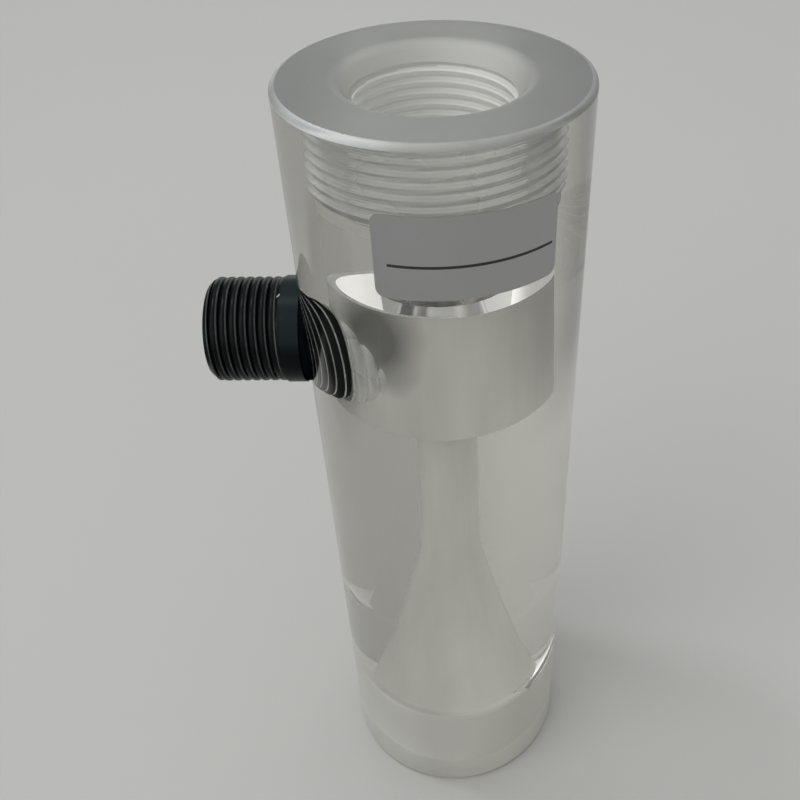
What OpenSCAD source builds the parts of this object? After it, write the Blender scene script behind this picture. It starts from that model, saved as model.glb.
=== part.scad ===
// Jet eductor. Water enters the screwed inlet on top, leaves the nozzle as a jet, draws a
// second fluid in through the side nipple and carries it down the throat and the diffuser.
// The block stands on its outlet face: origin at the middle of that face, +Z up the flow axis,
// nipple towards -X, front towards -Y. All lengths are in millimetres.

/* [Block] */
// Outside diameter of the clear block
block_d = 60; // [54:1:90]
// Chamfer round both end faces
block_chamfer = 1.2; // [0.4:0.1:2.5]

/* [Inlet] */
// Wall diameter of the tapped inlet, before its thread
inlet_d = 30.3; // [30.2:0.1:33]
// Depth of the inlet, from the top face to the nozzle plug
inlet_depth = 23.8; // [16:0.2:34]
// Diameter of the lead-in cone at the top face
inlet_mouth_d = 36; // [34:0.5:40]
// Depth of the lead-in cone
inlet_mouth_depth = 4.6; // [2:0.2:7]
// Radius of the rounded edge between the lead-in cone and the top face
inlet_edge_r = 3; // [0.5:0.25:3.5]

/* [Nozzle] */
// Diameter of the plug that carries the nozzle
plug_d = 29.6; // [29.4:0.1:29.8]
// Height of the plug
plug_h = 16.2; // [12:0.2:26]
// Diameter of the nozzle where the water enters
nozzle_entry_d = 15; // [9:0.5:20]
// Radius of the rounded lip at the nozzle entry
nozzle_lip_r = 1.5; // [0.5:0.25:3]
// Diameter of the jet
jet_d = 4.2; // [2.5:0.1:6]
// Length of the straight bore behind the jet
jet_land = 4; // [2:0.5:8]
// Length of the spout below the plug
spout_l = 21; // [12:0.5:24]
// Outside diameter of the spout where it leaves the plug
spout_root_d = 16; // [12:0.5:20]
// Outside diameter of the spout at its tip
spout_tip_d = 7; // [6.5:0.25:10]

/* [Suction chamber] */
// Diameter of the suction chamber
chamber_d = 28.9; // [26:0.1:29.2]
// Wall left between the chamber floor and the side port
port_above_floor = 2.8; // [1.4:0.2:8]
// Wall left between the side port and the nozzle plug
port_below_plug = 5.7; // [2:0.1:10]

/* [Throat and diffuser] */
// Diameter of the throat
throat_d = 8.2; // [6:0.1:12]
// Length of the throat
throat_l = 40.5; // [20:0.5:60]
// Chamfer where the throat leaves the chamber floor
throat_chamfer = 0.8; // [0.2:0.1:2]
// Diameter at the wide end of the diffuser
diffuser_d = 22.6; // [16:0.2:28]
// Length of the diffuser
diffuser_l = 65; // [40:1:90]

/* [Outlet] */
// Diameter of the outlet socket
outlet_d = 30.3; // [29:0.1:36]
// Depth of the outlet socket
outlet_depth = 23; // [14:0.5:34]

/* [Suction nipple] */
// Outside diameter of the nipple's threads
thread_d = 23; // [19:0.5:24]
// Diameter of the plain collar between the two threads
collar_d = 23.6; // [23.4:0.2:27]
// Length of the plain collar
collar_l = 3.9; // [2:0.1:8]
// Length of the free thread
free_thread_l = 16.4; // [10:0.2:24]
// Chamfer at each end of the nipple
thread_chamfer = 1.2; // [0.4:0.1:1.8]
// Bore of the nipple
nipple_bore_d = 15; // [10:0.5:16]
// Chamfer at each end of the nipple's bore
nipple_bore_chamfer = 0.6; // [0.2:0.1:1]

/* [Label] */
// Width of the label, along the curve of the block
label_w = 35; // [20:0.5:45]
// Height of the label
label_h = 16.8; // [10:0.2:24]
// Thickness of the label
label_t = 0.2; // [0.1:0.05:0.4]
// Radius of the label's corners
label_corner_r = 1.8; // [0.5:0.1:4]
// Distance from the top face down to the label
label_drop = 12.6; // [4:0.2:30]
// Turn of the label's middle from the front towards +X, in degrees
label_turn = 13; // [-40:1:60]

/* [Hidden] */
$fn = 96;
// Overrun of a cut past the face that it opens
overrun = 1;

block_r = block_d / 2;
inlet_r = inlet_d / 2;
plug_r = plug_d / 2;
chamber_r = chamber_d / 2;
throat_r = throat_d / 2;
outlet_r = outlet_d / 2;
port_r = thread_d / 2;

// Heights up the flow axis, each one stacked on the one before
diffuser_top = outlet_depth + diffuser_l;
chamber_floor = diffuser_top + throat_l;
port_z = chamber_floor + port_above_floor + port_r;
chamber_top = port_z + port_r + port_below_plug;
plug_top = chamber_top + plug_h;
block_h = plug_top + inlet_depth;

// Distances of the nipple's shoulders from the flow axis
nipple_inner_end = chamber_r;
collar_start = block_r;
collar_end = collar_start + collar_l;
nipple_outer_end = collar_end + free_thread_l;

// Steps in the arc of a rounded edge
arc_steps = 6;

// Quarter circle from the bore wall to the face, for a rounded lip
function lip(bore_r, face_z, lip_r) = [
    for (i = [0:arc_steps])
        let (turn = 90 * i / arc_steps)
            [bore_r + lip_r * (1 - cos(turn)), face_z - lip_r * (1 - sin(turn))]
];

// Arc from the top face down onto the lead-in cone, touching both
cone_slope = atan2(inlet_mouth_depth, inlet_mouth_d / 2 - inlet_r);
inlet_edge_middle = inlet_mouth_d / 2 + inlet_edge_r * tan(cone_slope / 2);
function inlet_edge() = [
    for (i = [0:arc_steps])
        let (turn = 90 + cone_slope * i / arc_steps)
            [inlet_edge_middle + inlet_edge_r * cos(turn), block_h - inlet_edge_r * (1 - sin(turn))]
];

// Half section of the block, as radius and height
module block_section() {
    polygon(concat(
        [
            [outlet_r, 0],
            [block_r - block_chamfer, 0],
            [block_r, block_chamfer],
            [block_r, block_h - block_chamfer],
            [block_r - block_chamfer, block_h],
        ],
        inlet_edge(),
        [
            [inlet_r, block_h - inlet_mouth_depth],
            [inlet_r, plug_top],
            [plug_r, plug_top],
            [plug_r, chamber_top],
            [chamber_r, chamber_top],
            [chamber_r, chamber_floor],
            [throat_r + throat_chamfer, chamber_floor],
            [throat_r, chamber_floor - throat_chamfer],
            [throat_r, diffuser_top],
            [diffuser_d / 2, outlet_depth],
            [outlet_r, outlet_depth],
        ]
    ));
}

// Clear block with the whole flow passage and the side port
module block() {
    color([0.82, 0.85, 0.83, 0.45])
        difference() {
            rotate_extrude()
                block_section();
            translate([0, 0, port_z])
                rotate([0, -90, 0])
                    cylinder(r = port_r, h = block_r + overrun);
        }
}

// Clear plug with a tapered spout, glued on the step above the chamber
module nozzle() {
    tip_z = chamber_top - spout_l;
    color([0.86, 0.89, 0.88, 0.55])
        rotate_extrude()
            polygon(concat(
                [
                    [jet_d / 2, tip_z + jet_land],
                    [jet_d / 2, tip_z],
                    [spout_tip_d / 2, tip_z],
                    [spout_root_d / 2, chamber_top],
                    [plug_r, chamber_top],
                    [plug_r, plug_top],
                ],
                [for (i = [arc_steps:-1:0]) lip(nozzle_entry_d / 2, plug_top, nozzle_lip_r)[i]]
            ));
}

// Half section of the nipple, as radius and distance from the flow axis
module nipple_section() {
    bore_r = nipple_bore_d / 2;
    polygon([
        [bore_r + nipple_bore_chamfer, nipple_inner_end],
        [port_r - thread_chamfer, nipple_inner_end],
        [port_r, nipple_inner_end + thread_chamfer],
        [port_r, collar_start],
        [collar_d / 2, collar_start],
        [collar_d / 2, collar_end],
        [port_r, collar_end],
        [port_r, nipple_outer_end - thread_chamfer],
        [port_r - thread_chamfer, nipple_outer_end],
        [bore_r + nipple_bore_chamfer, nipple_outer_end],
        [bore_r, nipple_outer_end - nipple_bore_chamfer],
        [bore_r, nipple_inner_end + nipple_bore_chamfer],
    ]);
}

// Black nipple, screwed into the side port until its inner end reaches the chamber
module suction_nipple() {
    color([0.09, 0.1, 0.1])
        translate([0, 0, port_z])
            rotate([0, -90, 0])
                rotate_extrude()
                    nipple_section();
}

// Rectangle with round corners, centred across and standing on the X axis
module rounded_rectangle(width, height, corner_r) {
    translate([-width / 2, corner_r])
        square([width, height - 2 * corner_r]);
    translate([corner_r - width / 2, 0])
        square([width - 2 * corner_r, height]);
    for (x = [corner_r - width / 2, width / 2 - corner_r])
        for (y = [corner_r, height - corner_r])
            translate([x, y])
                circle(r = corner_r);
}

// Thin silver label that follows the curve of the block
module label() {
    half_turn = label_w / block_d * 180 / PI;
    color([0.52, 0.53, 0.53])
        translate([0, 0, block_h - label_drop - label_h])
            rotate([0, 0, label_turn])
                intersection() {
                    difference() {
                        cylinder(r = block_r + label_t, h = label_h);
                        translate([0, 0, -overrun])
                            cylinder(r = block_r, h = label_h + 2 * overrun);
                    }
                    rotate([90, 0, 0])
                        linear_extrude(height = block_d)
                            rounded_rectangle(block_d * sin(half_turn), label_h, label_corner_r);
                }
}

block();
nozzle();
suction_nipple();
label();
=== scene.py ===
# Jet eductor: a clear round block with a screwed inlet, a glued nozzle, a black side nipple and
# a silver label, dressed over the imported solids. Lengths are in millimetres until a piece is made.
import math

import bmesh
import bpy
from mathutils import Matrix, Vector


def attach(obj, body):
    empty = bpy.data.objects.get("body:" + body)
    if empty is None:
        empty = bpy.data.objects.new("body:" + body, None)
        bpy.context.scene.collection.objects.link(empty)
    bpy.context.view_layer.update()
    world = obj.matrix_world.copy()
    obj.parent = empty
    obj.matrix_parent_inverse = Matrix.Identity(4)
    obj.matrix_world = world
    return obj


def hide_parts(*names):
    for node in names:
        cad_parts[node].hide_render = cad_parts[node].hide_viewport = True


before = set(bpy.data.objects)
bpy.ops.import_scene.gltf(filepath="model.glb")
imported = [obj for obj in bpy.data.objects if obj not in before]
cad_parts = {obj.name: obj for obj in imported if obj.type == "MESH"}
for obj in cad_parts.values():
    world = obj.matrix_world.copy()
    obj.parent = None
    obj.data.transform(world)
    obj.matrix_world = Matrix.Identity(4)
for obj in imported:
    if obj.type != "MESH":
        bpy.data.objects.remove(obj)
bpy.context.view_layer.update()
scene = bpy.context.scene

MM = 0.001
FULL_TURN = 2 * math.pi
STEPS = 180
UP = Vector((0, 0, 1))

# The block's heights and radii, as in the part's source
BLOCK_R = 30.0
BLOCK_H = 200.0
BLOCK_CHAMFER = 1.2
INLET_R = 15.15
MOUTH_R = 18.0
MOUTH_DEPTH = 4.6
MOUTH_EDGE_R = 3.0
PLUG_R = 14.8
PLUG_TOP = 176.2
CHAMBER_R = 14.45
CHAMBER_TOP = 160.0
CHAMBER_FLOOR = 128.5
THROAT_R = 4.1
THROAT_CHAMFER = 0.8
DIFFUSER_TOP = 88.0
DIFFUSER_R = 11.3
OUTLET_R = 15.15
OUTLET_DEPTH = 23.0
SOCKET_CORNER_R = 1.1
PORT_Z = 142.8

# The nozzle
ENTRY_R = 7.5
LIP_R = 1.5
JET_R = 2.1
JET_LAND = 4.0
SPOUT_L = 21.0
SPOUT_ROOT_R = 8.0
SPOUT_TIP_R = 3.5
GLUE_R = 13.4

# The nipple, by distance from the flow axis
NIPPLE_R = 11.5
NIPPLE_INNER_END = 14.45
COLLAR_START = 30.0
COLLAR_END = 33.9
COLLAR_R = 11.8
NIPPLE_OUTER_END = 50.3
NIPPLE_BORE_R = 7.5
NIPPLE_BORE_CHAMFER = 0.6

# The threads
INLET_PITCH = 2.309
INLET_THREAD_R = 15.95
INLET_THREAD_FOOT = 178.6
INLET_THREAD_RUN_OUT = 1.0
INLET_CROWN = 1.3
NIPPLE_PITCH = 2.05
NIPPLE_ROOT_R = 10.75
NIPPLE_END_R = 10.3
NIPPLE_CROWN = 2.6
THREAD_ROWS = 12
THREAD_PLAY = 0.05
GAP_SHARE = 0.36
# Where along the nipple's pitch the painted highlight line runs
HIGHLIGHT_LINE_SHARE = 0.2
INNER_RUN_OUT_START = 3.0
INNER_RUN_OUT_END = 0.6
OUTER_RUN_OUT = 2.6
OUTER_END_SLOPE = 0.9
CUTTER_START = 8.0
CUTTER_END = 31.5
CUTTER_RUN_IN = 0.5

# The label
LABEL_W = 35.0
LABEL_H = 16.8
LABEL_T = 0.2
LABEL_GAP = 0.012
LABEL_CORNER_R = 1.8
LABEL_FOOT = 170.6
LABEL_TURN = math.radians(13)
RULE_LOW, RULE_HIGH = 177.2, 177.78
RULE_LEFT, RULE_RIGHT = -8.1, 21.1

# Where the end of the outlet socket is polished: from this x on, and from this y to the back
POLISH_X = 8.0
POLISH_Y = -6.0

# How far from a plane or a wall the middle of a face may lie and still count as on it
NEAR = 0.02
LIP_NEAR = 0.05

# The curled scratch on the collar: its middle in x and y, and its radius
CURL_X = -35.2
CURL_Y = -2.4
CURL_R = 0.95

SHARP_ANGLE = math.radians(28)
ACRYLIC_IOR = 1.49

# The photograph's camera: picture and focal length in pixels, then its place and turns
PICTURE = 800
FOCAL_PIXELS = 926.4
CENTRE_ACROSS, CENTRE_DOWN = 471.48, 378.79
SENSOR = 36
CAMERA_AWAY = 165.7
CAMERA_HEIGHT = 264.2
CAMERA_SIDE = 2.5
CAMERA_YAW = 2.14
CAMERA_PITCH = 39.46
CAMERA_ROLL = -0.67

LAMP_AWAY = 1.4
LAMP_AIM = Vector((0, 0, 0.1))
FLOOR_DROP = 0.2


class Value:
    """A number in a material, so that sums and products of sockets read as plain arithmetic."""

    def __init__(self, finish, socket):
        self.finish = finish
        self.socket = socket

    def maths(self, operation, *others):
        return self.finish.add("ShaderNodeMath", {"operation": operation}, dict(enumerate((self, *others))))

    def __add__(self, other):
        return self.maths("ADD", other)

    __radd__ = __add__

    def __mul__(self, other):
        return self.maths("MULTIPLY", other)

    __rmul__ = __mul__

    def __sub__(self, other):
        return self.maths("SUBTRACT", other)

    def __rsub__(self, other):
        return self.finish.add("ShaderNodeMath", {"operation": "SUBTRACT"}, {0: other, 1: self})

    def __pow__(self, other):
        return self.maths("POWER", other)

    def __gt__(self, other):
        return self.maths("GREATER_THAN", other)

    def __lt__(self, other):
        return self.maths("LESS_THAN", other)


class Finish:
    """One material, built from nodes around a single shader."""

    def __init__(self, name):
        self.material = bpy.data.materials.new(name)
        self.material.use_nodes = True
        self.tree = self.material.node_tree
        self.tree.nodes.clear()

    def add(self, kind, settings=None, inputs=None, output=0):
        node = self.tree.nodes.new(kind)
        for name, value in (settings or {}).items():
            setattr(node, name, value)
        for name, value in (inputs or {}).items():
            if isinstance(value, Value):
                self.tree.links.new(value.socket, node.inputs[name])
            else:
                node.inputs[name].default_value = value
        return Value(self, node.outputs[output])

    def place(self):
        """The point on the piece, in metres."""
        return self.add("ShaderNodeTexCoord", output="Object")

    def axes(self):
        """The three coordinates of the point on the piece, in millimetres."""
        split = self.add("ShaderNodeSeparateXYZ", inputs={0: self.place()})
        return [Value(self, s) * (1 / MM) for s in split.socket.node.outputs]

    def noise(self, scale, detail=2.0, roughness=0.5, stretch=(1, 1, 1)):
        """Noise from 0 to 1, with the given number of grains to a metre."""
        where = self.add("ShaderNodeMapping", inputs={"Vector": self.place(), "Scale": stretch})
        return self.add("ShaderNodeTexNoise", inputs={
            "Vector": where, "Scale": scale, "Detail": detail, "Roughness": roughness})

    def spread(self, value, low, high, to_low=0.0, to_high=1.0):
        """value from low to high, spread over to_low to to_high and held there."""
        return self.add("ShaderNodeMapRange", {"clamp": True}, {
            "Value": value, "From Min": low, "From Max": high, "To Min": to_low, "To Max": to_high})

    def blend(self, mask, first, second):
        """first where mask is 0 and second where it is 1, as colours."""
        return self.add("ShaderNodeMix", {"data_type": "RGBA"}, {0: mask, 6: first, 7: second}, output=2)

    def bump(self, height, strength, distance):
        return self.add("ShaderNodeBump", inputs={
            "Height": height, "Strength": strength, "Distance": distance * MM})

    def shade(self, **inputs):
        named = {name.replace("_", " "): value for name, value in inputs.items()}
        shader = self.add("ShaderNodeBsdfPrincipled", inputs=named)
        surface = self.tree.nodes.new("ShaderNodeOutputMaterial")
        self.tree.links.new(shader.socket, surface.inputs["Surface"])
        return self.material


def polished_acrylic():
    """The polished outside, with faint handling marks. Its tint holds painted shade and painted light: the
    clear wall is greyer high on the right and lighter low on the right.
    """
    f = Finish("acrylic polished")
    x, y, z = f.axes()
    high = f.spread(z, 126, 150)
    left = f.blend(high, (0.60, 0.59, 0.555, 1), (0.60, 0.595, 0.56, 1))
    # Painted shade high on the right and painted light low on the right, in the wall's tint.
    right = f.blend(high * f.spread(x, 17, 27), (0.94, 0.93, 0.87, 1), (0.2, 0.196, 0.186, 1))
    smudge = f.spread(f.noise(38, 4, 0.6), 0.52, 0.72)
    hair = f.spread(f.noise(160, 3, 0.7, (1, 1, 0.12)), 0.62, 0.75)
    return f.shade(
        Base_Color=f.blend(f.spread(x, -6, 14), left, right),
        Roughness=0.012 + 0.05 * smudge + 0.04 * hair,
        Transmission_Weight=1.0,
        IOR=ACRYLIC_IOR,
    )


def matt_acrylic(name, rough, clear_share, shades, ring_pitch, streak,
                 around_axis=True, painted_light_inside=None, painted_patch=None):
    """Acrylic as the tool leaves it: frosted, with fine rings and soft streaks between two shades.
    painted_light_inside gives two radii, between which the finish turns to a paler third shade towards the
    axis: painted light.
    patch gives a point, two distances from it and a shade, painted round the point: painted light where the
    shade is paler, painted shade where it is darker."""
    f = Finish(name)
    x, y, z = f.axes()
    radius = (x * x + y * y) ** 0.5
    wander = f.noise(60, 2)
    ring = ((z if around_axis else radius) * (FULL_TURN / ring_pitch) + wander * 3.0).maths("SINE")
    haze = f.noise(70, 4, 0.6, streak)
    colour = f.blend(f.spread(haze, 0.32, 0.68), *shades[:2])
    if painted_light_inside:
        # Painted light: paler towards the axis.
        colour = f.blend(f.spread(radius, *painted_light_inside, 1.0, 0.0), colour, shades[2])
    # Painted light and shade: a patch round a point in the given shade.
    if painted_patch:
        middle, near, far, shade = painted_patch
        away = ((x - middle[0]) ** 2 + (y - middle[1]) ** 2 + ((z - middle[2]) * 0.65) ** 2) ** 0.5
        colour = f.blend(f.spread(away + (wander - 0.5) * 6.0, near, far, 1.0, 0.0), colour, shade)
    return f.shade(
        Base_Color=colour,
        Roughness=f.spread(haze, 0.3, 0.7, rough - 0.05, rough + 0.07),
        Transmission_Weight=clear_share,
        IOR=ACRYLIC_IOR,
        Normal=f.bump(ring, 0.4, 0.01),
    )


def thread_acrylic():
    """The cut threads: clearer than the bores, with fine tool lines and a rougher back half, which is also
    painted darker as painted shade.
    """
    f = Finish("acrylic thread")
    x, y, z = f.axes()
    chatter = f.noise(90, 2, 0.5)
    back = f.spread(y, -3, 6)
    turned = y.maths("ARCTAN2", x)
    line = (z * (4 * FULL_TURN / INLET_PITCH) - turned * 4.0).maths("SINE")
    return f.shade(
        # Painted shade: the back half darker.
        Base_Color=f.blend(back, (0.98, 0.99, 0.98, 1), (0.7, 0.695, 0.67, 1)),
        Roughness=f.spread(chatter, 0.3, 0.7, 0.22, 0.34) + back * 0.22,
        Transmission_Weight=0.5,
        IOR=ACRYLIC_IOR,
        Normal=f.bump(line * (z > PLUG_TOP), 0.5, 0.05),
    )


def glued_joint():
    """Faces that lie tight on another piece: light goes straight through them."""
    f = Finish("acrylic glued joint")
    return f.shade(Base_Color=(1, 1, 1, 1), Roughness=0.5, Alpha=0.0, Specular_IOR_Level=0.0)


def black_plastic():
    """Moulded black plastic with a curled scratch. A pale line along the free thread is a painted highlight,
    and the collar's upper half is painted lighter and bluer as a painted reflection.
    """
    f = Finish("black plastic")
    x, y, z = f.axes()
    turned = y.maths("ARCTAN2", z - PORT_Z) * (1 / FULL_TURN)
    share = (x * (-1 / NIPPLE_PITCH) - turned).maths("FRACT")
    grain = f.noise(900, 3, 0.6)
    cloud = f.noise(70, 3, 0.5)
    # Noise that breaks up both the painted highlight line and the scratch.
    wear_and_highlight_noise = f.noise(130, 3, 0.6)
    # Painted highlight: a pale line along the free thread.
    from_line = (share - HIGHLIGHT_LINE_SHARE).maths("ABSOLUTE")
    painted_highlight_line = f.spread(from_line, 0.02, 0.1, 1.0, 0.0) * (x < -COLLAR_END)
    dust = f.spread(f.noise(420, 4, 0.7), 0.62, 0.8)
    # Painted reflection: the collar's upper half lighter and bluer, its lower half dark.
    upper_painted_reflection = f.spread(z, PORT_Z + 1, PORT_Z + 5)
    collar = f.blend(upper_painted_reflection, (0.0015, 0.002, 0.0022, 1), (0.005, 0.0095, 0.0105, 1))
    plain = f.blend(x > -COLLAR_END, (0.0012, 0.0018, 0.002, 1), collar)
    colour = f.blend(dust * 0.2, plain, (0.03, 0.036, 0.036, 1))
    colour = f.blend(painted_highlight_line * f.spread(wear_and_highlight_noise, 0.3, 0.6, 0.5, 1.0), colour, (0.075, 0.085, 0.082, 1))
    along = x - CURL_X
    across = y - CURL_Y + along * 0.5
    curl = ((along ** 2 + across ** 2) ** 0.5 - CURL_R).maths("ABSOLUTE")
    scratch = f.spread(curl, 0.08, 0.2, 1.0, 0.0) * (z > PORT_Z) * (wear_and_highlight_noise > 0.42)
    colour = f.blend(scratch, colour, (0.28, 0.3, 0.29, 1))
    return f.shade(
        Base_Color=colour,
        Roughness=f.spread(cloud, 0.3, 0.7, 0.2, 0.34),
        IOR=1.52,
        Specular_IOR_Level=0.07,
        Normal=f.bump(grain, 0.25, 0.03),
    )


def seated_plastic():
    """The black plastic where it lies against the acrylic, without a shine of its own."""
    f = Finish("black plastic seated")
    return f.shade(Base_Color=(0.002, 0.003, 0.0035, 1), Roughness=0.6, Specular_IOR_Level=0.0)


def silver_film():
    """Matt silver label with one plain printed rule. The silver is painted darker on the left and lighter on
    the right, as painted shading.
    """
    f = Finish("silver film")
    x, y, z = f.axes()
    rule = (z > RULE_LOW) * (z < RULE_HIGH) * (x > RULE_LEFT) * (x < RULE_RIGHT) * (y < 0)
    grain = f.noise(1500, 2, 0.6)
    cloud = f.noise(50, 3, 0.5)
    # Painted shading: the silver darker on the left, lighter on the right.
    silver = f.blend(f.spread(x + cloud * 8.0, -8, 24), (0.27, 0.274, 0.27, 1), (0.38, 0.384, 0.38, 1))
    colour = f.blend(rule, silver, (0.006, 0.006, 0.006, 1))
    return f.shade(
        Base_Color=colour,
        Metallic=0.75 * (1 - rule),
        Roughness=0.42 + 0.12 * grain,
        Normal=f.bump(grain, 0.2, 0.01),
    )


def pale_floor():
    """The floor is pale where the camera sees it. The block reflects a dark patch beyond its left edge."""
    f = Finish("pale floor")
    x, y, z = f.axes()
    tone = f.noise(3, 4, 0.5)
    away = ((x + 285) ** 2 + (y + 20) ** 2) ** 0.5
    pale = f.blend(tone, (0.375, 0.37, 0.355, 1), (0.395, 0.39, 0.375, 1))
    ground = f.blend(f.spread(away, 95, 135), (0.02, 0.02, 0.02, 1), pale)
    return f.shade(Base_Color=ground, Roughness=0.7)


POLISHED, BORED, FACED, THREADED, GLUED, SANDED, EDGE, REAMED = range(8)
ACRYLIC_FINISHES = [
    polished_acrylic(),
    matt_acrylic(
        "acrylic bored", rough=0.42, clear_share=0.1, ring_pitch=0.22, streak=(1, 1, 0.12),
        shades=((0.8, 0.79, 0.75, 1), (0.97, 0.96, 0.925, 1)),
        # Painted shade: a dark patch where the black nipple lies behind the frosted chamber wall.
        painted_patch=((-10, -10.2, 153.5), 3.5, 9.5, (0.19, 0.19, 0.185, 1))),
    matt_acrylic(
        "acrylic faced", rough=0.55, clear_share=0.6, ring_pitch=0.3, streak=(1, 1, 1),
        shades=((0.27, 0.275, 0.265, 1), (0.31, 0.315, 0.305, 1), (0.5, 0.495, 0.475, 1)),
        # Painted light: the faced mouth paler inside its edge, towards the bore.
        around_axis=False, painted_light_inside=(17.2, 19.6)),
    thread_acrylic(),
    glued_joint(),
    matt_acrylic(
        "acrylic sanded", rough=0.6, clear_share=0.06, ring_pitch=0.4, streak=(1, 1, 0.3),
        shades=((0.94, 0.945, 0.93, 1), (1.0, 1.0, 0.99, 1)),
        # Painted shade: the sanded base darker towards the right front.
        painted_patch=((24, -12, 10), 8, 38, (0.7, 0.69, 0.645, 1))),
    matt_acrylic(
        "acrylic edge", rough=0.3, clear_share=0.6, ring_pitch=0.3, streak=(1, 1, 0.3),
        shades=((0.34, 0.342, 0.335, 1), (0.46, 0.463, 0.455, 1)),
        # Painted light: the rim paler at the left front.
        painted_patch=((-20, -21, 200), 6, 18, (0.76, 0.78, 0.78, 1))),
    matt_acrylic(
        "acrylic reamed", rough=0.14, clear_share=0.92, ring_pitch=0.4, streak=(1, 1, 0.2),
        shades=((0.80, 0.80, 0.78, 1), (0.90, 0.90, 0.88, 1))),
]


def outline(bm, points):
    """A chain of edges in the XZ plane, through points of radius and height."""
    verts = [bm.verts.new((radius, 0, height)) for radius, height in points]
    return verts + [bm.edges.new(pair) for pair in zip(verts, verts[1:])]


def turn(bm, points):
    """Turns an outline once round the Z axis."""
    bmesh.ops.spin(bm, geom=outline(bm, points), axis=UP, angle=FULL_TURN, steps=STEPS, use_merge=True)


def ridge(share, crown):
    """Height of a thread ridge, from 0 to 1, at a share of its pitch. A higher crown makes it wider."""
    return 1 - abs(2 * share - 1) ** crown


def cut_thread(bm, low, high, pitch, root_r, crest_r, crown, trim):
    """A threaded wall between two heights: one turn is wound up the Z axis and repeated.
    trim gives the wall's radius from the thread's own radius and the height."""
    foot = math.floor(low / pitch) * pitch - pitch
    shares = [row / THREAD_ROWS for row in range(THREAD_ROWS + 1)]
    profile = [(root_r + (crest_r - root_r) * ridge(share, crown), foot + pitch * share) for share in shares]
    one_turn = bmesh.new()
    bmesh.ops.spin(one_turn, geom=outline(one_turn, profile), axis=UP, dvec=UP * (pitch / STEPS),
                   angle=FULL_TURN, steps=STEPS)
    wound = bmesh.new()
    mesh = bpy.data.meshes.new("turn")
    one_turn.to_mesh(mesh)
    one_turn.free()
    for _ in range(math.ceil((high - foot) / pitch)):
        wound.from_mesh(mesh)
        mesh.transform(Matrix.Translation(UP * pitch))
    for v in wound.verts:
        height = min(max(v.co.z, low), high)
        radius = trim(v.co.xy.length, height)
        v.co.xy *= radius / v.co.xy.length
        v.co.z = height
    wound.to_mesh(mesh)
    wound.free()
    bm.from_mesh(mesh)
    bpy.data.meshes.remove(mesh)


def weld(bm):
    """Joins what meets, drops what has no area, and points every face outwards."""
    bmesh.ops.remove_doubles(bm, verts=bm.verts, dist=0.004)
    bmesh.ops.dissolve_degenerate(bm, edges=bm.edges, dist=0.0005)
    bmesh.ops.recalc_face_normals(bm, faces=bm.faces)


def smooth(bm, keep_smooth=()):
    """Smooth faces, with sharp edges at the corners and where the polish stops.
    Faces of a finish in keep_smooth stay smooth among themselves."""
    for face in bm.faces:
        face.smooth = True
    for edge in bm.edges:
        finishes = {face.material_index for face in edge.link_faces}
        if len(edge.link_faces) == 2 and not finishes.issubset(keep_smooth):
            edge.smooth = edge.calc_face_angle(0) < SHARP_ANGLE and finishes != {POLISHED, EDGE}


def add_object(bm, name, finishes):
    """Puts a mesh in the scene as an object with these finishes, and frees the mesh."""
    mesh = bpy.data.meshes.new(name)
    bm.to_mesh(mesh)
    bm.free()
    for finish in finishes:
        mesh.materials.append(finish)
    made = bpy.data.objects.new(name, mesh)
    scene.collection.objects.link(made)
    return made


def piece(bm, name, finishes, node):
    """Makes a finished piece from a mesh in millimetres, standing for a node of the part."""
    bmesh.ops.scale(bm, vec=(MM,) * 3, verts=bm.verts)
    made = add_object(bm, name, finishes)
    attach(made, "root")
    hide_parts(node)


def fade(value, start, end):
    """0 at start, 1 at end, eased."""
    share = min(max((value - start) / (end - start), 0), 1)
    return share * share * (3 - 2 * share)


def mouth_edge():
    """The rounded edge between the lead-in cone and the top face, from the cone outwards."""
    slope = (MOUTH_R - INLET_R) / MOUTH_DEPTH
    lean = math.atan(slope)
    middle_r = MOUTH_R + MOUTH_EDGE_R * (1 / math.cos(lean) - slope)
    angles = [(1 - step / 8) * (math.pi / 2 - lean) for step in range(9)]
    return [(middle_r - MOUTH_EDGE_R * math.sin(a), BLOCK_H - MOUTH_EDGE_R * (1 - math.cos(a)))
            for a in angles]


def quarter_turn(steps):
    """The angles of a quarter circle, from 0."""
    return [step / steps * math.pi / 2 for step in range(steps + 1)]


def rounded_rim():
    """The rounded edge between the outside and the top face, from the outside inwards."""
    across, up = BLOCK_R - BLOCK_CHAMFER, BLOCK_H - BLOCK_CHAMFER
    return [(across + BLOCK_CHAMFER * math.cos(a), up + BLOCK_CHAMFER * math.sin(a)) for a in quarter_turn(5)]


def socket_corner():
    """The round corner at the end of the outlet socket, from the step to the wall."""
    across, up = OUTLET_R - SOCKET_CORNER_R, OUTLET_DEPTH - SOCKET_CORNER_R
    return [(across + SOCKET_CORNER_R * math.sin(a), up + SOCKET_CORNER_R * math.cos(a))
            for a in quarter_turn(5)]


def inlet_wall(radius, height):
    """The inlet's thread runs out above the nozzle, and its mouth is a cone."""
    run_in = fade(height, INLET_THREAD_FOOT, INLET_THREAD_FOOT + INLET_THREAD_RUN_OUT)
    cut = INLET_R + (radius - INLET_R) * run_in
    cone = MOUTH_R - (BLOCK_H - height) * (MOUTH_R - INLET_R) / MOUTH_DEPTH
    return max(cut, cone)


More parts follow.
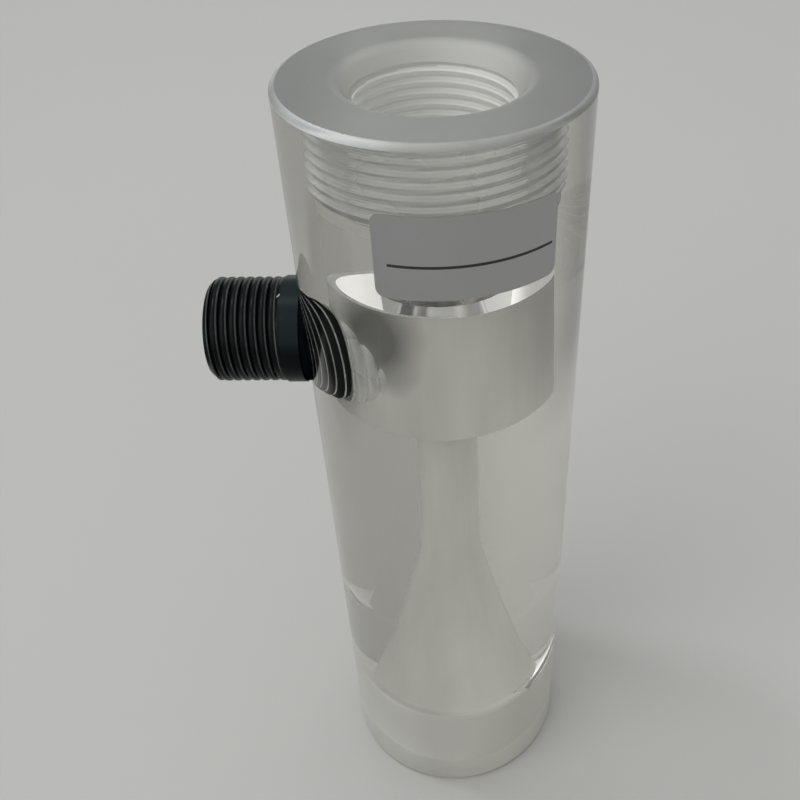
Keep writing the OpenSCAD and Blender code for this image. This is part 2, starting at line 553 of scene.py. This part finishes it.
def block_finish(middle):
    """The finish of a face of the block, by its middle."""
    radius, height = middle.xy.length, middle.z
    right_end = middle.x > POLISH_X and middle.y > POLISH_Y
    if radius > BLOCK_R - NEAR:
        return POLISHED
    if height > BLOCK_H - MOUTH_DEPTH and radius < BLOCK_R - BLOCK_CHAMFER:
        return FACED
    if radius > BLOCK_R - BLOCK_CHAMFER:
        return EDGE
    if height < NEAR:
        return SANDED
    if CHAMBER_TOP - NEAR < height < PLUG_TOP - NEAR and radius > CHAMBER_R:
        return GLUED
    if height > INLET_THREAD_FOOT:
        return THREADED
    if abs(height - OUTLET_DEPTH) < NEAR:
        return POLISHED if right_end else BORED
    if OUTLET_DEPTH - SOCKET_CORNER_R < height < OUTLET_DEPTH:
        return REAMED if right_end else SANDED
    return SANDED if height < OUTLET_DEPTH else BORED


def inner_thread(radius, distance):
    """The inner thread runs out towards the collar, where its grooves grow shallow."""
    run_out = fade(distance, COLLAR_START - INNER_RUN_OUT_START, COLLAR_START - INNER_RUN_OUT_END)
    return NIPPLE_R - (NIPPLE_R - radius) * (1 - run_out)


def port_wall(radius, distance):
    """The thread in the side port, with some play, which starts smooth inside the chamber."""
    depth = inner_thread(radius, distance) - NIPPLE_ROOT_R
    return NIPPLE_ROOT_R + THREAD_PLAY + depth * fade(distance, CUTTER_START, CUTTER_START + CUTTER_RUN_IN)


def inner_end(radius, distance):
    """The nipple's inner thread, with its chamfered end."""
    return min(inner_thread(radius, distance), NIPPLE_END_R + distance - NIPPLE_INNER_END)


def free_end(radius, distance):
    """The nipple's free thread: it starts at the collar and ends in a chamfer."""
    cut = NIPPLE_R - (NIPPLE_R - radius) * fade(distance, COLLAR_END, COLLAR_END + OUTER_RUN_OUT)
    return min(cut, NIPPLE_END_R + (NIPPLE_OUTER_END - distance) * OUTER_END_SLOPE)


def build_block():
    edge = mouth_edge()
    bm = bmesh.new()
    turn(bm, [
        (INLET_R, INLET_THREAD_FOOT),
        (INLET_R, PLUG_TOP),
        (PLUG_R, PLUG_TOP),
        (PLUG_R, CHAMBER_TOP),
        (CHAMBER_R, CHAMBER_TOP),
        (CHAMBER_R, CHAMBER_FLOOR),
        (THROAT_R + THROAT_CHAMFER, CHAMBER_FLOOR),
        (THROAT_R, CHAMBER_FLOOR - THROAT_CHAMFER),
        (THROAT_R, DIFFUSER_TOP),
        (DIFFUSER_R, OUTLET_DEPTH),
    ] + socket_corner() + [
        (OUTLET_R, 0),
        (BLOCK_R - BLOCK_CHAMFER, 0),
        (BLOCK_R, BLOCK_CHAMFER),
    ] + rounded_rim() + edge[::-1])
    cut_thread(bm, INLET_THREAD_FOOT, edge[0][1],
               INLET_PITCH, INLET_R, INLET_THREAD_R, INLET_CROWN, inlet_wall)
    weld(bm)
    for face in bm.faces:
        face.material_index = block_finish(face.calc_center_median())
    bm = hollow(bm, side_port())
    smooth(bm, keep_smooth=(THREADED,))
    piece(bm, "block_body", ACRYLIC_FINISHES, "block")


def side_port():
    """The volume of the tapped side port. Where the nipple's thread bears on it, light goes through."""
    bm = bmesh.new()
    outer_r, root_r = NIPPLE_R + THREAD_PLAY, NIPPLE_ROOT_R + THREAD_PLAY
    turn(bm, [(outer_r, CUTTER_END), (0, CUTTER_END)])
    turn(bm, [(outer_r, COLLAR_START), (outer_r, CUTTER_END)])
    turn(bm, [(0, CUTTER_START), (root_r, CUTTER_START)])
    cut_thread(bm, CUTTER_START, COLLAR_START, NIPPLE_PITCH, NIPPLE_ROOT_R, NIPPLE_R, NIPPLE_CROWN, port_wall)
    weld(bm)
    seat_r = root_r + GAP_SHARE * (NIPPLE_R - NIPPLE_ROOT_R)
    for face in bm.faces:
        middle = face.calc_center_median()
        seated = middle.z > CHAMBER_R and middle.xy.length > seat_r
        face.material_index = GLUED if seated else THREADED
    lay_along_port(bm)
    return bm


def lay_along_port(bm):
    """Turns a mesh made along +Z so that it leaves the flow axis towards -X at the port's height."""
    place = Matrix.Translation((0, 0, PORT_Z)) @ Matrix.Rotation(math.radians(-90), 4, "Y")
    bmesh.ops.transform(bm, matrix=place, verts=bm.verts)


def hollow(bm, cutter):
    """Takes the cutter's volume out of the mesh, and gives back the mesh that is left."""
    whole = add_object(bm, "whole", ACRYLIC_FINISHES)
    tool = add_object(cutter, "cutter", ACRYLIC_FINISHES)
    cut = whole.modifiers.new("port", "BOOLEAN")
    cut.operation = "DIFFERENCE"
    cut.solver = "EXACT"
    cut.material_mode = "INDEX"
    cut.object = tool
    bpy.context.view_layer.update()
    left = bmesh.new()
    left.from_mesh(whole.evaluated_get(bpy.context.evaluated_depsgraph_get()).to_mesh())
    whole.to_mesh_clear()
    for part in (whole, tool):
        mesh = part.data
        bpy.data.objects.remove(part)
        bpy.data.meshes.remove(mesh)
    return left


def build_nozzle():
    tip = CHAMBER_TOP - SPOUT_L
    across, up = ENTRY_R + LIP_R, PLUG_TOP - LIP_R
    bm = bmesh.new()
    turn(bm, [(across - LIP_R * math.cos(a), up + LIP_R * math.sin(a)) for a in reversed(quarter_turn(6))] + [
        (JET_R, tip + JET_LAND),
        (JET_R, tip),
        (SPOUT_TIP_R, tip),
        (SPOUT_ROOT_R, CHAMBER_TOP),
        (GLUE_R, CHAMBER_TOP),
        (CHAMBER_R, CHAMBER_TOP),
        (PLUG_R, CHAMBER_TOP),
        (PLUG_R, PLUG_TOP),
        (ENTRY_R + LIP_R, PLUG_TOP),
    ])
    weld(bm)
    for face in bm.faces:
        middle = face.calc_center_median()
        radius = middle.xy.length
        if radius > CHAMBER_R and middle.z < PLUG_TOP - NEAR:
            face.material_index = GLUED
        elif abs(middle.z - CHAMBER_TOP) < NEAR:
            face.material_index = SANDED if radius > GLUE_R and middle.x < 3 else POLISHED
        elif middle.z > PLUG_TOP - LIP_NEAR:
            face.material_index = FACED
        else:
            face.material_index = REAMED if face.normal.xy.dot(middle.xy) < 0 else BORED
    smooth(bm)
    piece(bm, "nozzle_body", ACRYLIC_FINISHES, "nozzle")


def build_nipple():
    bm = bmesh.new()
    bore_mouth_r = NIPPLE_BORE_R + NIPPLE_BORE_CHAMFER
    turn(bm, [
        (NIPPLE_R, COLLAR_START),
        (COLLAR_R, COLLAR_START),
        (COLLAR_R, COLLAR_END),
        (NIPPLE_R, COLLAR_END),
    ])
    turn(bm, [
        (NIPPLE_END_R, NIPPLE_OUTER_END),
        (bore_mouth_r, NIPPLE_OUTER_END),
        (NIPPLE_BORE_R, NIPPLE_OUTER_END - NIPPLE_BORE_CHAMFER),
        (NIPPLE_BORE_R, NIPPLE_INNER_END + NIPPLE_BORE_CHAMFER),
        (bore_mouth_r, NIPPLE_INNER_END),
        (NIPPLE_END_R, NIPPLE_INNER_END),
    ])
    thread = (NIPPLE_PITCH, NIPPLE_ROOT_R, NIPPLE_R, NIPPLE_CROWN)
    cut_thread(bm, NIPPLE_INNER_END, COLLAR_START, *thread, inner_end)
    cut_thread(bm, COLLAR_END, NIPPLE_OUTER_END, *thread, free_end)
    weld(bm)
    for face in bm.faces:
        middle = face.calc_center_median()
        face.material_index = middle.z < COLLAR_START and middle.xy.length > NIPPLE_END_R
    lay_along_port(bm)
    smooth(bm)
    piece(bm, "nipple_body", [black_plastic(), seated_plastic()], "suction_nipple")


def build_label():
    """A flat blank with round corners, wrapped round the block."""
    bm = bmesh.new()
    columns, rows = 70, 34
    bmesh.ops.create_grid(bm, x_segments=columns, y_segments=rows, size=1)
    half_w, half_h = LABEL_W / 2, LABEL_H / 2
    for v in bm.verts:
        x, z = v.co.x * half_w, v.co.y * half_h
        over_x = abs(x) - (half_w - LABEL_CORNER_R)
        over_z = abs(z) - (half_h - LABEL_CORNER_R)
        if over_x > 0 and over_z > 0:
            reach = max(over_x, over_z) / math.hypot(over_x, over_z)
            x = math.copysign(half_w - LABEL_CORNER_R + over_x * reach, x)
            z = math.copysign(half_h - LABEL_CORNER_R + over_z * reach, z)
        turned = x / BLOCK_R + LABEL_TURN
        radius = BLOCK_R + LABEL_GAP
        v.co = (radius * math.sin(turned), -radius * math.cos(turned), LABEL_FOOT + half_h + z)
    skin = bm.faces[:]
    made = bmesh.ops.extrude_face_region(bm, geom=skin)
    for v in [g for g in made["geom"] if isinstance(g, bmesh.types.BMVert)]:
        v.co.xy *= (BLOCK_R + LABEL_T) / v.co.xy.length
    bmesh.ops.recalc_face_normals(bm, faces=bm.faces)
    smooth(bm)
    piece(bm, "label_film", [silver_film()], "label")


def place_camera():
    """The photograph's viewpoint, with the nipple pointing along -X."""
    data = bpy.data.cameras.new("camera")
    data.sensor_width = SENSOR
    data.lens = FOCAL_PIXELS * SENSOR / PICTURE
    data.shift_x = (PICTURE / 2 - CENTRE_ACROSS) / PICTURE
    data.shift_y = (CENTRE_DOWN - PICTURE / 2) / PICTURE
    data.clip_start = 0.01
    camera = bpy.data.objects.new("camera", data)
    scene.collection.objects.link(camera)
    side, yaw = math.radians(CAMERA_SIDE), math.radians(CAMERA_YAW - CAMERA_SIDE)
    pitch, roll = math.radians(CAMERA_PITCH), math.radians(CAMERA_ROLL)
    forward = Vector((math.sin(yaw) * math.cos(pitch), math.cos(yaw) * math.cos(pitch), -math.sin(pitch)))
    level = Vector((math.cos(yaw), -math.sin(yaw), 0))
    above = level.cross(forward)
    right = level * math.cos(roll) + above * math.sin(roll)
    upward = above * math.cos(roll) - level * math.sin(roll)
    turned = Matrix((right, upward, -forward)).transposed().to_4x4()
    spot = Vector((CAMERA_AWAY * math.sin(side), -CAMERA_AWAY * math.cos(side), CAMERA_HEIGHT)) * MM
    camera.matrix_world = Matrix.Translation(spot) @ turned
    scene.camera = camera


def towards(bearing, height):
    """The direction at a bearing from the back, clockwise, and a height, both in degrees."""
    turn, lift = math.radians(bearing), math.radians(height)
    return Vector((math.sin(turn) * math.cos(lift), math.cos(turn) * math.cos(lift), math.sin(lift)))


def soft_box(name, bearing, height, span, brightness, colour=(1, 1, 1)):
    """A lamp of some span in degrees, seen from the object at a bearing and a height."""
    spot = LAMP_AIM + LAMP_AWAY * towards(bearing, height)
    size = [2 * LAMP_AWAY * math.tan(math.radians(angle) / 2) for angle in span]
    data = bpy.data.lights.new(name, "AREA")
    data.shape = "RECTANGLE"
    data.size, data.size_y = size
    data.energy = brightness * math.pi * size[0] * size[1]
    data.color = colour
    lamp = bpy.data.objects.new(name, data)
    scene.collection.objects.link(lamp)
    facing = (spot - LAMP_AIM).to_track_quat("Z", "Y").to_matrix().to_4x4()
    lamp.matrix_world = Matrix.Translation(spot) @ facing


def light_scene():
    """Grey light that fades towards the right, with a dark corner and a dim wall behind on the left.
    Four windows and a roof light stand before it."""
    world = bpy.data.worlds.new("studio")
    world.use_nodes = True
    nodes, links = world.node_tree.nodes, world.node_tree.links
    direction = nodes.new("ShaderNodeTexCoord")

    def spread_from(bearing, height, low, high, to_low, to_high):
        """From to_low to to_high as the angle to a direction closes from low to high, in degrees."""
        dot = nodes.new("ShaderNodeVectorMath")
        dot.operation = "DOT_PRODUCT"
        dot.inputs[1].default_value = towards(bearing, height)
        spread = nodes.new("ShaderNodeMapRange")
        spread.interpolation_type = "SMOOTHSTEP"
        spread.inputs["From Min"].default_value = math.cos(math.radians(low))
        spread.inputs["From Max"].default_value = math.cos(math.radians(high))
        spread.inputs["To Min"].default_value = to_low
        spread.inputs["To Max"].default_value = to_high
        links.new(direction.outputs["Generated"], dot.inputs[0])
        links.new(dot.outputs["Value"], spread.inputs["Value"])
        return spread.outputs[0]

    strength = spread_from(-85, 10, 115, 45, 0.62, 1.8)
    for darker in (spread_from(-62, 23, 37, 30, 1.0, 0.05), spread_from(-8, 32, 30, 16, 1.0, 0.45)):
        product = nodes.new("ShaderNodeMath")
        product.operation = "MULTIPLY"
        links.new(strength, product.inputs[0])
        links.new(darker, product.inputs[1])
        strength = product.outputs[0]
    links.new(strength, nodes["Background"].inputs["Strength"])
    nodes["Background"].inputs["Color"].default_value = (0.98, 0.99, 1.0, 1)
    scene.world = world
    soft_box("roof light", bearing=-72, height=68, span=(6, 9), brightness=37, colour=(0.95, 0.985, 1))
    soft_box("right window", bearing=31, height=41.5, span=(28, 17), brightness=0.75)
    soft_box("middle window", bearing=-38, height=41, span=(26, 17), brightness=0.5)
    soft_box("high window", bearing=8, height=56, span=(50, 13), brightness=0.5)
    soft_box("left window", bearing=-128, height=45, span=(30, 30), brightness=1.7)


def lay_floor():
    bm = bmesh.new()
    bmesh.ops.create_grid(bm, x_segments=1, y_segments=1, size=3)
    bmesh.ops.translate(bm, vec=(0, 0, -FLOOR_DROP * MM), verts=bm.verts)
    floor = add_object(bm, "floor", [pale_floor()])


place_camera()
light_scene()
lay_floor()
build_block()
build_nozzle()
build_nipple()
build_label()

scene.view_settings.view_transform = "Standard"
scene.cycles.max_bounces = 24
scene.cycles.transmission_bounces = 24
scene.cycles.transparent_max_bounces = 16

bpy.context.view_layer.update()
